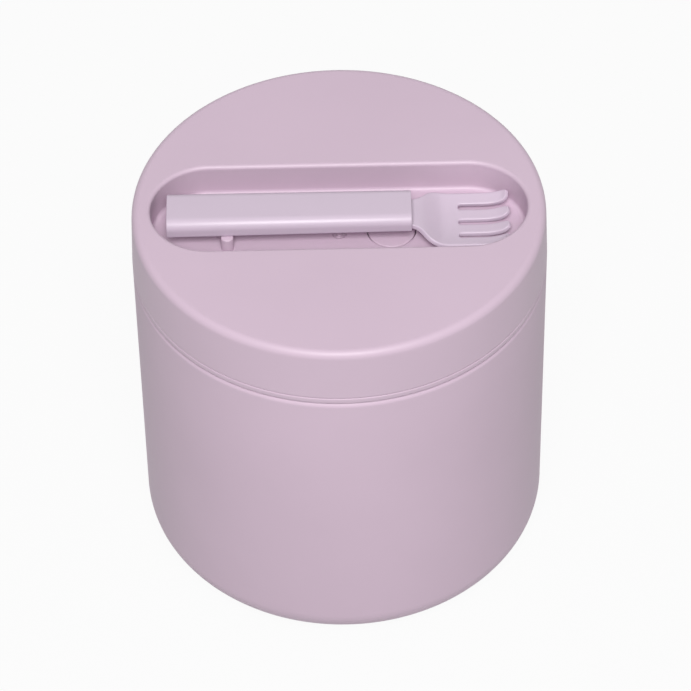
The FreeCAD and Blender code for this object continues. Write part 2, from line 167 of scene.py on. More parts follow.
# %% [markdown]
# A mesh made in many small steps has doubled points and faces that look inwards. The same few steps
# finish every piece, and a count of its open edges shows whether it closes.

# %% Helpers that finish a mesh
def close_edit(piece):
    """Close the edit and move the piece's place into its mesh."""
    bpy.ops.object.mode_set(mode="OBJECT")
    take(piece)
    settle()


def clean(piece, smooth_angle=32):
    """Merge doubles, turn the faces outwards and shade the gentle edges smooth."""
    edit(piece)
    everything()
    bpy.ops.mesh.remove_doubles(threshold=0.002 * MM)
    bpy.ops.mesh.normals_make_consistent(inside=False)
    close_edit(piece)
    bpy.ops.object.shade_smooth_by_angle(angle=math.radians(smooth_angle))
    return piece


def apply_modifier(piece, kind, **settings):
    """Add one modifier, set it up and apply it."""
    take(piece)
    bpy.ops.object.modifier_add(type=kind)
    modifier = piece.modifiers[-1]
    for key, value in settings.items():
        setattr(modifier, key, value)
    bpy.ops.object.modifier_apply(modifier=modifier.name)


def carve(piece, tool, operation="DIFFERENCE", solver="EXACT"):
    """Cut a tool shape out of a piece, or weld it on, and throw the tool away."""
    apply_modifier(piece, "BOOLEAN", object=tool, operation=operation, solver=solver)
    bpy.data.objects.remove(tool, do_unlink=True)


def open_edges(piece):
    """How many edges don't have exactly two faces, which is none on a closed piece."""
    mesh = bmesh.new()
    mesh.from_mesh(piece.data)
    count = sum(1 for edge in mesh.edges if len(edge.link_faces) != 2)
    mesh.free()
    return count


# %% [markdown]
# A round piece is drawn as half of its outline and spun about an axis, as on a lathe. The outline starts
# as a plane merged to one point, which is pulled from corner to corner. A corner can be rounded first,
# with a bevel of that one point. An outline that starts and ends on the axis is left open, because the
# spin closes it there.

# %% Helpers that draw and spin an outline
def first_point(name, place):
    """A new piece that is one point."""
    deselect_all()
    bpy.ops.mesh.primitive_plane_add(size=MM, location=place)
    piece = bpy.context.active_object
    piece.name = name
    settle()
    bpy.ops.object.mode_set(mode="EDIT")
    everything()
    bpy.ops.mesh.merge(type="CENTER")
    return piece


def at_place(place):
    """A test for points at one place, in metres."""
    return lambda co: (co - Vector(place)).length < 0.001 * MM


def draw_line(name, places, closed=False):
    """A new piece drawn as a line through some places, in metres."""
    piece = first_point(name, places[0])
    for before, after in zip(places, places[1:]):
        step = Vector(after) - Vector(before)
        bpy.ops.mesh.extrude_region_move(TRANSFORM_OT_translate={"value": step})
    if closed:
        pick("verts", at_place(places[0]))
        pick("verts", at_place(places[-1]), keep=True)
        bpy.ops.mesh.edge_face_add()
    return piece


def round_corner(place, radius, segments=5):
    """Round one corner of the line in hand."""
    bpy.ops.mesh.select_mode(type="VERT")
    pick("verts", at_place(place))
    bpy.ops.mesh.bevel(offset=radius, segments=segments, affect="VERTICES", clamp_overlap=False)


def lathe(name, outline, x=0.0, y=0.0, steps=192, closed=True):
    """A round piece from (radius, height) or (radius, height, corner radius, segments), in mm."""
    places = [((x + point[0]) * MM, y * MM, point[1] * MM) for point in outline]
    piece = draw_line(name, places, closed)
    for point, place in zip(outline, places):
        if len(point) > 2:
            round_corner(place, point[2] * MM, *point[3:])
    everything()
    center = (x * MM, y * MM, 0)
    bpy.ops.mesh.spin(steps=steps, angle=TAU, center=center, axis=(0, 0, 1), use_auto_merge=True)
    return clean(piece)


def rod_outline(radius, low, high):
    """Half of the outline of a plain rod, from its lowest to its highest z."""
    return [(0.0, low), (radius, low), (radius, high), (0.0, high)]


# %% [markdown]
# ## Measures from the frame
#
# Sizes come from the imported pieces, so that each modelled piece sits where its CAD piece does. From here
# on, lengths are in millimetres and become metres when a mesh is made.

# %% Measures
def mm_box(node):
    """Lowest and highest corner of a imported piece, in millimetres."""
    low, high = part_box(node)
    return Vector(low) / MM, Vector(high) / MM


shell_low, shell_high = mm_box("outer_shell")
pad_low, pad_high = mm_box("base_pad")
plate_low, plate_high = mm_box("base_plate")
vessel_low, vessel_high = mm_box("inner_vessel")
bottom_low = mm_box("inner_bottom")[0]
neck_low, neck_high = mm_box("neck_collar")
gasket_low, gasket_high = mm_box("lid_gasket")
collar_low, collar_high = mm_box("lid_collar")
cover_low, cover_high = mm_box("lid_cover")
plug_high = mm_box("lid_plug")[1]
cap_low, cap_high = mm_box("plug_cap")
button_low, button_high = mm_box("vent_button")
seal_low, seal_high = mm_box("vent_seal")
handle_low, handle_high = mm_box("fork_handle")
head_high = mm_box("fork_head")[1]
pin_low, pin_high = mm_box("fork_pin")

body_radius = collar_high.x
shoulder_z = neck_low.z
rim_z = shell_high.z
lid_top = cover_high.z
seam_z = cover_low.z
steel_wall = 0.6
print(f"body radius {body_radius:.2f}, lid top {lid_top:.2f}, rim {rim_z:.2f}, seam {seam_z:.2f} mm")

# %% [markdown]
# ## Finishes
#
# Each finish is a small node tree on a Principled shader. It reads Object coordinates, so that its grain
# keeps its real size on every piece. The jar's paint and the lid's plastic share one lilac. A coloured
# surface is never one flat tone: a slow drift of colour and a fine grain of roughness and bump make it
# look like the real coating.

# %% Helpers that build node trees
def blank_tree(owner, output_kind, shader_kind):
    """Give a material or world a node tree that is one shader at its output."""
    owner.use_nodes = True
    tree = owner.node_tree
    tree.nodes.clear()
    output = tree.nodes.new(output_kind)
    shader = tree.nodes.new(shader_kind)
    tree.links.new(shader.outputs[0], output.inputs["Surface"])
    return tree, shader


def new_material(name):
    """A material with an empty node tree but for a Principled shader and its output."""
    material = bpy.data.materials.new(name)
    tree, shader = blank_tree(material, "ShaderNodeOutputMaterial", "ShaderNodeBsdfPrincipled")
    return material, tree, shader


def add_node(tree, kind, settings):
    """A new node with some of its inputs set."""
    node = tree.nodes.new(kind)
    for name, value in settings.items():
        node.inputs[name].default_value = value
    return node


def noise(tree, density, detail=2.0, roughness=0.5, stretch=None):
    """Noise on Object coordinates, with its density in cells per metre."""
    coordinates = tree.nodes.new("ShaderNodeTexCoord")
    settings = {"Scale": density, "Detail": detail, "Roughness": roughness}
    texture = add_node(tree, "ShaderNodeTexNoise", settings)
    source = coordinates.outputs["Object"]
    if stretch:
        mapping = add_node(tree, "ShaderNodeMapping", {"Scale": stretch})
        tree.links.new(source, mapping.inputs["Vector"])
        source = mapping.outputs["Vector"]
    tree.links.new(source, texture.inputs["Vector"])
    return texture.outputs["Fac"]


def ramp(tree, factor, stops):
    """Colour ramp from two (position, colour) stops."""
    node = tree.nodes.new("ShaderNodeValToRGB")
    for element, (position, color) in zip(node.color_ramp.elements, stops):
        element.position = position
        element.color = (*color, 1.0)
    tree.links.new(factor, node.inputs["Fac"])
    return node.outputs["Color"]


def spread(tree, factor, low, high):
    """Turn a factor into a value between low and high."""
    settings = {"From Min": 0.3, "From Max": 0.7, "To Min": low, "To Max": high}
    node = add_node(tree, "ShaderNodeMapRange", settings)
    tree.links.new(factor, node.inputs["Value"])
    return node.outputs["Result"]


def bump(tree, height, depth, strength=0.5):
    """Bump from a height factor, with its depth in millimetres."""
    node = add_node(tree, "ShaderNodeBump", {"Strength": strength, "Distance": depth * MM})
    tree.links.new(height, node.inputs["Height"])
    return node.outputs["Normal"]


def plug_in(tree, shader, tone, normal, rough=None):
    """Link a tone, a bump and, where there is one, a roughness to a shader."""
    tree.links.new(tone, shader.inputs["Base Color"])
    tree.links.new(normal, shader.inputs["Normal"])
    if rough:
        tree.links.new(rough, shader.inputs["Roughness"])


def tint(color, factor):
    """A colour made lighter or darker."""
    return tuple(min(channel * factor, 1.0) for channel in color)


# %% [markdown]
# Paint and moulded plastic differ in their grain. Powder paint has a soft orange peel of about half a
# millimetre. Moulded plastic has a finer, flatter spark-eroded grain, and a touch more shine.

# %% Coloured finishes
def coated(name, color, shine, grain, depth, drift=0.02):
    """A coloured surface with a slow drift of colour and a fine grain."""
    material, tree, shader = new_material(name)
    slow = noise(tree, 22.0, 3.0)
    fine = noise(tree, grain, 3.0, 0.6)
    tone = ramp(tree, slow, [(0.3, tint(color, 1 - drift)), (0.7, tint(color, 1 + drift))])
    rough = spread(tree, fine, shine - 0.04, shine + 0.04)
    plug_in(tree, shader, tone, bump(tree, fine, depth), rough)
    return material


LILAC = (0.610, 0.470, 0.575)
FORK_LILAC = (0.610, 0.505, 0.610)
PLUG_GREY = (0.66, 0.62, 0.65)
powder_paint = coated("powder_paint", LILAC, 0.50, 1900.0, 0.020)
lid_plastic = coated("lid_plastic", LILAC, 0.45, 3200.0, 0.010)
fork_plastic = coated("fork_plastic", FORK_LILAC, 0.36, 3600.0, 0.006)
neck_plastic = coated("neck_plastic", tint(LILAC, 0.92), 0.42, 2600.0, 0.010)
plug_plastic = coated("plug_plastic", PLUG_GREY, 0.40, 2800.0, 0.010)


# %% [markdown]
# The vessel is steel that was spun and polished, so its fine lines run round the axis. Their height
# comes from noise that is read by radius and height alone, which makes it the same all the way round.
# Silicone lets a little light in, so it has a soft look and a weak shine.

# %% Steel, silicone, copper and foam
def round_lines(tree, density):
    """Noise that changes with radius and height only."""
    coordinates = tree.nodes.new("ShaderNodeTexCoord")
    split = tree.nodes.new("ShaderNodeSeparateXYZ")
    tree.links.new(coordinates.outputs["Object"], split.inputs["Vector"])
    flat = tree.nodes.new("ShaderNodeCombineXYZ")
    tree.links.new(split.outputs["X"], flat.inputs["X"])
    tree.links.new(split.outputs["Y"], flat.inputs["Y"])
    length = tree.nodes.new("ShaderNodeVectorMath")
    length.operation = "LENGTH"
    tree.links.new(flat.outputs["Vector"], length.inputs[0])
    place = tree.nodes.new("ShaderNodeCombineXYZ")
    tree.links.new(length.outputs["Value"], place.inputs["X"])
    tree.links.new(split.outputs["Z"], place.inputs["Y"])
    texture = add_node(tree, "ShaderNodeTexNoise", {"Scale": density, "Detail": 4.0})
    tree.links.new(place.outputs["Vector"], texture.inputs["Vector"])
    return texture.outputs["Fac"]


def steel(name, color, shine, density, depth):
    """Turned or spun steel."""
    material, tree, shader = new_material(name)
    lines = round_lines(tree, density)
    cloudy = noise(tree, 25.0, 1.0)
    tone = ramp(tree, lines, [(0.25, tint(color, 0.93)), (0.75, tint(color, 1.04))])
    rough = spread(tree, cloudy, shine - 0.02, shine + 0.02)
    plug_in(tree, shader, tone, bump(tree, lines, depth, 0.35), rough)
    shader.inputs["Metallic"].default_value = 1.0
    return material


def silicone(name, color):
    """Soft rubber with a little light in it."""
    material, tree, shader = new_material(name)
    slow = noise(tree, 45.0, 2.0)
    fine = noise(tree, 2400.0, 2.0)
    tone = ramp(tree, slow, [(0.3, tint(color, 0.96)), (0.7, tint(color, 1.03))])
    plug_in(tree, shader, tone, bump(tree, fine, 0.01), spread(tree, fine, 0.48, 0.60))
    shader.inputs["Subsurface Weight"].default_value = 0.2
    shader.inputs["Subsurface Radius"].default_value = (0.004, 0.003, 0.003)
    shader.inputs["Subsurface Scale"].default_value = 0.3
    return material


def copper(name):
    """Thin bright foil with creases."""
    material, tree, shader = new_material(name)
    creases = noise(tree, 160.0, 5.0, 0.7, stretch=(1.0, 1.0, 0.35))
    tone = ramp(tree, creases, [(0.3, (0.82, 0.45, 0.30)), (0.7, (0.92, 0.56, 0.40))])
    plug_in(tree, shader, tone, bump(tree, creases, 0.15), spread(tree, creases, 0.18, 0.32))
    shader.inputs["Metallic"].default_value = 1.0
    return material


def foam(name):
    """Closed cell foam."""
    material, tree, shader = new_material(name)
    coordinates = tree.nodes.new("ShaderNodeTexCoord")
    cells = add_node(tree, "ShaderNodeTexVoronoi", {"Scale": 900.0})
    tree.links.new(coordinates.outputs["Object"], cells.inputs["Vector"])
    depth = cells.outputs["Distance"]
    tone = ramp(tree, depth, [(0.1, (0.88, 0.84, 0.74)), (0.9, (0.70, 0.66, 0.57))])
    plug_in(tree, shader, tone, bump(tree, depth, 0.3, 0.8))
    shader.inputs["Roughness"].default_value = 0.9
    return material


vessel_steel = steel("vessel_steel", (0.66, 0.655, 0.65), 0.24, 5200.0, 0.006)
base_steel = steel("base_steel", (0.58, 0.575, 0.57), 0.34, 3400.0, 0.010)
small_steel = steel("small_steel", (0.60, 0.60, 0.60), 0.30, 6000.0, 0.004)
dull_metal = steel("dull_metal", (0.34, 0.34, 0.35), 0.62, 2200.0, 0.020)
seal_silicone = silicone("seal_silicone", (0.76, 0.745, 0.75))
pad_silicone = silicone("pad_silicone", (0.42, 0.34, 0.40))
copper_foil = copper("copper_foil")
plug_foam = foam("plug_foam")
print("finishes:", len(bpy.data.materials))


# %% [markdown]
# Each finished piece is given its finish, rides on its CAD body, and stands for its CAD node, which is
# hidden.
# The printed line also says how many edges are open, which should be none.

# %% Helper that puts a piece in the model
def install(piece, material, body, node):
    """Give a piece its finish and its place in the model."""
    piece.data.materials.clear()
    piece.data.materials.append(material)
    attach(piece, body)
    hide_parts(node)
    size = [round(side / MM, 2) for side in piece.dimensions]
    faces = len(piece.data.polygons)
    print(f"{piece.name}: rides on {body}, {faces} faces, {open_edges(piece)} open edges, {size} mm")
    return piece


# %% [markdown]
# ## The jar body
#
# The outer shell is drawn steel: a straight wall, a broad rounded foot, and a narrow shoulder that turns
# up into the neck. It is spun from half of its outline. The wall has its real thickness, so that the
# open mouth and the underside look right.

# %% Outer shell
foot_radius = 10.6
foot_flat = 2.4
shoulder_round = 1.6
neck_radius = 52.0
base_opening = body_radius - foot_radius - foot_flat
mouth_outer = neck_radius - steel_wall
shell_bottom = shell_low.z
wall_radius = body_radius - steel_wall
shell_outline = [
    (base_opening, shell_bottom),
    (body_radius, shell_bottom, foot_radius, 18),
    (body_radius, shoulder_z, shoulder_round, 7),
    (neck_radius, shoulder_z, 0.5, 3),
    (neck_radius, rim_z, 0.2, 3),
    (mouth_outer, rim_z),
    (mouth_outer, shoulder_z - steel_wall),
    (wall_radius, shoulder_z - steel_wall, shoulder_round - steel_wall, 5),
    (wall_radius, shell_bottom + steel_wall, foot_radius - steel_wall, 12),
    (base_opening, shell_bottom + steel_wall),
]
jar_shell = lathe("jar_shell", shell_outline)
install(jar_shell, powder_paint, "jar", "outer_shell")

# %% [markdown]
# The underside is seen when the jar is picked up. A dished steel plate closes the shell, and a soft pad
# sits in the dish. The pad has shallow round grooves that grip a table.

# %% Base plate and pad
dish_margin = 2.0
seal_hole = 2.0
dish_radius = base_opening - dish_margin
dish_low = plate_high.z - steel_wall
plate_outline = [
    (seal_hole, dish_low),
    (dish_radius, dish_low),
    (dish_radius, plate_low.z, 0.2, 3),
    (base_opening, plate_low.z),
    (base_opening, plate_low.z + steel_wall),
    (dish_radius + steel_wall, plate_low.z + steel_wall),
    (dish_radius + steel_wall, plate_high.z, 0.3, 3),
    (seal_hole, plate_high.z),
]
jar_plate = lathe("jar_base_plate", plate_outline)
install(jar_plate, base_steel, "jar", "base_plate")

pad_radius = pad_high.x
groove_width = 1.4
groove_depth = 0.3
groove_radii = (13.0, 24.0, 35.0)
pad_outline = [(0.0, pad_low.z)]
for groove_radius in groove_radii:
    pad_outline.append((groove_radius, pad_low.z, 0.1, 2))
    pad_outline.append((groove_radius, pad_low.z + groove_depth, 0.1, 2))
    pad_outline.append((groove_radius + groove_width, pad_low.z + groove_depth, 0.1, 2))
    pad_outline.append((groove_radius + groove_width, pad_low.z, 0.1, 2))
pad_outline += [(pad_radius, pad_low.z, 0.3, 4), (pad_radius, pad_high.z), (0.0, pad_high.z)]
jar_pad = lathe("jar_base_pad", pad_outline, closed=False)
install(jar_pad, pad_silicone, "jar", "base_pad")

# %% [markdown]
# The inner vessel is seen when the lid is off. It widens below the neck in two soft bends, and its floor
# is dished with a large corner. Corners that aren't square are rounded by the length of their tangent,
# which is the radius times the tangent of half the turn.

# %% Inner vessel and its floor
vessel_radius = vessel_high.x - steel_wall
mouth_radius = mouth_outer - steel_wall
vessel_weld = vessel_low.z
floor_z = bottom_low.z
floor_corner = 8.0
bend_radius = 5.0
neck_straight = 8.4
neck_turn = math.acos(1 - (vessel_radius - mouth_radius) / (2 * bend_radius))
bend_run = bend_radius * math.tan(neck_turn / 2)
bend_high = rim_z - neck_straight
bend_low = bend_high - 2 * bend_radius * math.sin(neck_turn)
tangent_share = 0.97
bend_out = (bend_radius + steel_wall) * math.tan(neck_turn / 2)
bend_in = (bend_radius - steel_wall) * math.tan(neck_turn / 2)
vessel_outline = [
    (vessel_radius, vessel_weld),
    (vessel_radius + steel_wall, vessel_weld),
    (vessel_radius + steel_wall, bend_low + bend_out, bend_out * tangent_share, 7),
    (mouth_outer, bend_high - bend_in, bend_in * tangent_share, 7),
    (mouth_outer, rim_z),
    (mouth_radius, rim_z, 0.2, 3),
    (mouth_radius, bend_high - bend_run, bend_run * tangent_share, 7),
    (vessel_radius, bend_low + bend_run, bend_run * tangent_share, 7),
]
jar_vessel = lathe("jar_inner_vessel", vessel_outline)
install(jar_vessel, vessel_steel, "jar", "inner_vessel")

floor_outline = [
    (0.0, floor_z),
    (vessel_radius + steel_wall, floor_z, floor_corner + steel_wall, 16),
    (vessel_radius + steel_wall, vessel_weld),
    (vessel_radius, vessel_weld),
    (vessel_radius, floor_z + steel_wall, floor_corner, 16),
    (0.0, floor_z + steel_wall),
]
jar_floor = lathe("jar_inner_floor", floor_outline, closed=False)
install(jar_floor, vessel_steel, "jar", "inner_bottom")

# %% [markdown]
# ## Collars and lugs
#
# The lid holds on by three lugs that turn under three lugs on the neck. Each collar is a spun ring with
# loops at the heights of its lugs. The faces of a lug are picked by their direction and height, extruded
# and scaled away from the axis, which keeps them on a circle. A bevel modifier softens all its edges.

# %% Helper that draws lugs out of a ring
LUG_STEPS = 360
LUG_DIRECTIONS = (0.0, 120.0, 240.0)


def turned_from(place, direction):
    """Angle between a place and a direction, in degrees."""
    angle = math.degrees(math.atan2(place.y, place.x)) - direction
    return (angle + 180) % 360 - 180


def draw_lugs(piece, wall, reach, areas):
    """Pull three lugs out of a ring's wall. An area is its lowest and highest z, width and turn."""
    edit(piece, "FACE")
    chosen = 0
    for direction in LUG_DIRECTIONS:
        def on_lug(place, normal, direction=direction):
            if not near(math.hypot(place.x, place.y), wall, 0.1) or abs(normal.z) > 0.1:
                return False
            for low, high, width, turn in areas:
                if low < place.z / MM < high and abs(turned_from(place, direction + turn)) < width / 2:
                    return True
            return False

        chosen += pick_faces(on_lug)
        pull()
        factor = (wall + reach) / wall
        scale((factor, factor, 1), (0, 0, 0))
    print(piece.name, "lug faces drawn:", chosen)
    close_edit(piece)


def soften(piece, width, segments=2, angle=50):
    """Round the sharp edges of a piece by a small bevel."""
    apply_modifier(
        piece, "BEVEL", width=width * MM, segments=segments, limit_method="ANGLE",
        angle_limit=math.radians(angle), use_clamp_overlap=True,
    )
    return clean(piece)


# %% Neck collar
neck_wall = 53.4
neck_lug_low = 103.9
neck_lug_high = 105.5
stop_low = 101.9
neck_lug_width = 50.0
stop_width = 3.0
stop_offset = -22.5
neck_reach = neck_high.x - neck_wall
neck_outline = [
    (neck_radius, neck_low.z),
    (neck_wall, neck_low.z),
    (neck_wall, stop_low),
    (neck_wall, neck_lug_low),
    (neck_wall, neck_lug_high),
    (neck_wall, neck_high.z),
    (neck_radius, neck_high.z),
]
jar_neck = lathe("jar_neck_collar", neck_outline, steps=LUG_STEPS)
neck_lug = (neck_lug_low, neck_lug_high, neck_lug_width, 0.0)
neck_stop = (stop_low, neck_lug_low, stop_width, stop_offset)
draw_lugs(jar_neck, neck_wall, neck_reach, [neck_lug, neck_stop])
soften(jar_neck, 0.2)
install(jar_neck, neck_plastic, "jar", "neck_collar")

# %% [markdown]
# The lid's collar is the thin band that shows between the two seam lines. Inside the lid it carries on
# as a wall with the lid's own lugs. The band's outer edges have a small radius, which is what makes the
# seams read as two fine lines.

# %% Lid collar
collar_inner = 55.4
collar_outer = 56.8
band_high = 103.05
seam_round = 0.3
lid_lug_low = 101.9
lid_lug_high = 103.6
lid_lug_width = 40.0
lid_lug_reach = -1.6
collar_outline = [
    (collar_inner, collar_low.z),
    (body_radius, collar_low.z, seam_round, 4),
    (body_radius, band_high, seam_round, 4),
    (collar_outer, band_high),
    (collar_outer, collar_high.z),
    (collar_inner, collar_high.z),
    (collar_inner, lid_lug_high),
    (collar_inner, lid_lug_low),
]
lid_band = lathe("lid_band", collar_outline, steps=LUG_STEPS)
draw_lugs(lid_band, collar_inner, lid_lug_reach, [(lid_lug_low, lid_lug_high, lid_lug_width, 0.0)])
soften(lid_band, 0.12)
install(lid_band, lid_plastic, "lid", "lid_collar")

# %% [markdown]
# ## The lid cover
#
# The cover has a round skirt and, in its flat top, a long tray with round ends. Both a circle and a
# tray outline can be one loop of the same number of points: a tray outline is a circle whose right and
# left halves are moved apart. So the whole cover is drawn as one loop that is extruded again and again,
# each time with a new radius, height and distance between its halves. It goes up the skirt, over the
# edge, into the tray, down the vent bore, and back along the inside to where it began.

# %% Helpers that extrude one loop from form to form
COVER_POINTS = 256


def start_loop(name, radius, height):
    """A circle in hand, with no point on the line between its halves."""
    deselect_all()
    turn = (0, 0, math.pi / COVER_POINTS)
    bpy.ops.mesh.primitive_circle_add(
        vertices=COVER_POINTS, radius=radius * MM, location=(0, 0, height * MM), rotation=turn,
    )
    piece = bpy.context.active_object
    piece.name = name
    settle()
    bpy.ops.object.mode_set(mode="EDIT")
    everything()
    return piece, {"radius": radius, "height": height, "apart": 0.0, "middle": 0.0}


def next_loop(loop, radius, height, apart=0.0, middle=0.0):
    """Extrude the loop in hand to a new radius, height, distance from the middle, and middle."""
    pull(z=height - loop["height"])
    points = held_points()
    halves = {
        1: [number for number, place in points if place.x > loop["middle"] * MM],
        -1: [number for number, place in points if place.x <= loop["middle"] * MM],
    }
    factor = radius / loop["radius"]
    for side, numbers in halves.items():
        old_center = loop["middle"] + side * loop["apart"]
        hold(numbers)
        scale((factor, factor, 1), (old_center, 0, height))
        move(x=middle + side * apart - old_center)
    hold([number for number, place in points])
    loop.update(radius=radius, height=height, apart=apart, middle=middle)


def quarter(center_radius, center_height, radius, from_deg, to_deg, count):
    """Points along an arc of an outline, without its start."""
    steps = [from_deg + (to_deg - from_deg) * (index + 1) / count for index in range(count)]
    turns = [math.radians(step) for step in steps]
    return [(center_radius + radius * math.cos(a), center_height + radius * math.sin(a)) for a in turns]


# %% Draw the cover
lid_top_radius = 58.45
lid_edge = 2.2
skirt_inner = 56.95
cover_wall = 2.0
inside_top = lid_top - cover_wall
inside_edge = 1.5
tray_half_length = 53.15
tray_half_width = 16.65
tray_apart = tray_half_length - tray_half_width
tray_floor = 110.0
tray_under = plug_high.z
tray_wall = 1.8
tray_rim = 1.1
tray_corner = 1.2
vent_x = (button_low.x + button_high.x) / 2
vent_bore = 7.0
vent_bore_edge = 0.15
hold_back = 0.35

bottom_round = quarter(body_radius - seam_round, seam_z + seam_round, seam_round, -90, 0, 4)
top_round = quarter(lid_top_radius - lid_edge, lid_top - lid_edge, lid_edge, 1.9, 90, 12)
inner_round = quarter(skirt_inner - inside_edge, inside_top - inside_edge, inside_edge, 90, 0, 5)
rim_round = quarter(tray_half_width + tray_rim, lid_top - tray_rim, tray_rim, 90, 180, 12)
corner_round = quarter(tray_half_width - tray_corner, tray_floor + tray_corner, tray_corner, 0, -90, 9)
vent_round = quarter(vent_bore + vent_bore_edge, tray_floor - vent_bore_edge, vent_bore_edge, 90, 180, 3)

skirt_stages = bottom_round + [(body_radius - 0.01, seam_z + 0.7)]
skirt_stages += [(lid_top_radius + 0.02, lid_top - lid_edge - hold_back)] + top_round
skirt_stages += [(lid_top_radius - lid_edge - hold_back, lid_top)]
tray_stages = [(tray_half_width + tray_rim + hold_back, lid_top), (tray_half_width + tray_rim, lid_top)]
tray_stages += rim_round + [(tray_half_width, lid_top - tray_rim - hold_back)]
tray_stages += [(tray_half_width, tray_floor + tray_corner + hold_back)]
tray_stages += [(tray_half_width, tray_floor + tray_corner)] + corner_round
tray_stages += [(tray_half_width - tray_corner - hold_back, tray_floor)]
vent_stages = [(vent_bore + 0.5, tray_floor), (vent_bore + vent_bore_edge, tray_floor)]
vent_stages += vent_round + [(vent_bore, tray_under)]
under_stages = [(tray_half_width + tray_wall, tray_under), (tray_half_width + tray_wall, inside_top)]
inner_stages = [(skirt_inner - inside_edge, inside_top)] + inner_round
inner_stages += [(skirt_inner, seam_z), (body_radius - seam_round, seam_z)]

lid_cover, loop = start_loop("lid_cover_shape", body_radius - seam_round, seam_z)
for radius, height in skirt_stages:
    next_loop(loop, radius, height)
for radius, height in tray_stages:
    next_loop(loop, radius, height, tray_apart)
for radius, height in vent_stages:
    next_loop(loop, radius, height, 0.0, vent_x)
for radius, height in under_stages:
    next_loop(loop, radius, height, tray_apart)
for radius, height in inner_stages:
    next_loop(loop, radius, height)
clean(lid_cover)
print("cover faces", len(lid_cover.data.polygons), "open edges", open_edges(lid_cover))

# %% [markdown]
# Two small things are left on the tray floor. A round mark with a nub in it is where the plastic flowed
# into the mould. Two posts carry the edges of the fork's handle. The mark is carved and the posts are
# welded on with boolean modifiers, because both meet the floor in a sharp line.

# %% Mould mark and posts
mark_radius = 2.1
mark_nub = 0.75
mark_depth = 0.9
mark_slope = 0.6
mark_y = -1.0
mark_tool = lathe(
    "mark_tool",
    [
        (mark_nub + 0.1, tray_floor - mark_depth, 0.2, 3),
        (mark_radius - mark_slope, tray_floor - mark_depth, 0.25, 3),
        (mark_radius, tray_floor - 0.1),
        (mark_radius + 0.15, tray_floor + 0.05),
        (mark_radius + 0.15, tray_floor + 1.0),
        (mark_nub - 0.2, tray_floor + 1.0),
        (mark_nub - 0.2, tray_floor - 0.1),
        (mark_nub, tray_floor - 0.3),
    ],
    y=mark_y,
    steps=64,
)
carve(lid_cover, mark_tool)

fork_y = (handle_low.y + handle_high.y) / 2
post_from_tail = 17.0
post_x = handle_low.x + post_from_tail
post_radius = 1.75
post_reach = 7.03
post_top = 114.45
post_outline = [
    (0.0, tray_floor - 1.0),
    (post_radius, tray_floor - 1.0),
    (post_radius, post_top, 0.4, 4),
    (0.0, post_top),
]
for side in (-1, 1):
    post = lathe("post", post_outline, post_x, fork_y + side * post_reach, 64, closed=False)
    carve(lid_cover, post, "UNION")
clean(lid_cover)
install(lid_cover, lid_plastic, "lid", "lid_cover")

# %% [markdown]
# ## Vent button
#
# The button is a plain round disc, level with the tray floor. The fine dark line round it is the real
# gap to its bore. Its stem goes down through the plug to the soft seal.

# %% Vent button and its seal
vent_radius = button_high.x - vent_x
vent_disc_low = 107.6
stem_radius = 1.6
foot_top = button_low.z + 0.8
vent_foot_radius = 2.4
button_outline = [
    (0.0, button_low.z),
    (vent_foot_radius, button_low.z, 0.3, 3),
    (vent_foot_radius, foot_top, 0.2, 3),
    (stem_radius, foot_top),
    (stem_radius, vent_disc_low),
    (vent_radius, vent_disc_low),
    (vent_radius, button_high.z, 0.4, 5),
    (0.0, button_high.z),
]
vent_button = lathe("vent_button_shape", button_outline, x=vent_x, steps=128, closed=False)
install(vent_button, lid_plastic, "vent", "vent_button")

seal_radius = seal_high.x - vent_x
seal_outline = [
    (stem_radius, seal_low.z),
    (seal_radius, seal_low.z, 0.5, 5),
    (seal_radius, seal_high.z, 0.3, 4),
    (stem_radius, seal_high.z),
]
vent_seal = lathe("vent_seal_shape", seal_outline, x=vent_x, steps=96)
install(vent_seal, seal_silicone, "vent", "vent_seal")

# %% [markdown]
# ## Under the lid
#
# The plug fills the mouth. Its wall and flange are spun together. The well that holds the vent's spring
# stands off the lid's axis, so it is spun about its own axis and welded on after its bore is cut.

# %% Plug, its cap and the seal on the rim
flange_low = 107.2
plug_radius = cap_high.x
plug_wall = 1.2
cap_top = cap_high.z
well_floor = 98.0
channel_radius = 2.6
plug_outline = [
    (0.0, plug_high.z),
    (plug_high.x, plug_high.z, 0.2, 3),
    (plug_high.x, flange_low, 0.2, 3),
    (plug_radius, flange_low, 0.4, 4),
    (plug_radius, cap_top),
    (plug_radius - plug_wall, cap_top),
    (plug_radius - plug_wall, flange_low),
    (0.0, flange_low),
]
lid_plug = lathe("lid_plug_shape", plug_outline, closed=False)
bore_outline = rod_outline(vent_bore, flange_low - 1.0, plug_high.z + 1.0)
carve(lid_plug, lathe("bore_tool", bore_outline, x=vent_x, closed=False))
well_outline = [
    (channel_radius, cap_top),
    (channel_radius + plug_wall, cap_top),
    (channel_radius + plug_wall, well_floor - plug_wall, 0.4, 3),
    (vent_bore + plug_wall, well_floor - plug_wall, 0.6, 4),
    (vent_bore + plug_wall, flange_low + 0.3),
    (vent_bore, flange_low + 0.3),
    (vent_bore, well_floor),
    (channel_radius, well_floor),
]
well = lathe("well", well_outline, x=vent_x)
carve(lid_plug, well, "UNION")
clean(lid_plug)
install(lid_plug, plug_plastic, "lid", "lid_plug")

cap_outline = [
    (0.0, cap_low.z),
    (plug_radius, cap_low.z, 0.8, 7),
    (plug_radius, cap_top, 0.1, 2),
    (0.0, cap_top),
]
plug_cap = lathe("plug_cap_shape", cap_outline, closed=False)
channel_outline = rod_outline(channel_radius, cap_low.z - 1.0, cap_top + 1.0)
carve(plug_cap, lathe("channel_tool", channel_outline, x=vent_x, steps=96, closed=False))
clean(plug_cap)
install(plug_cap, plug_plastic, "lid", "plug_cap")

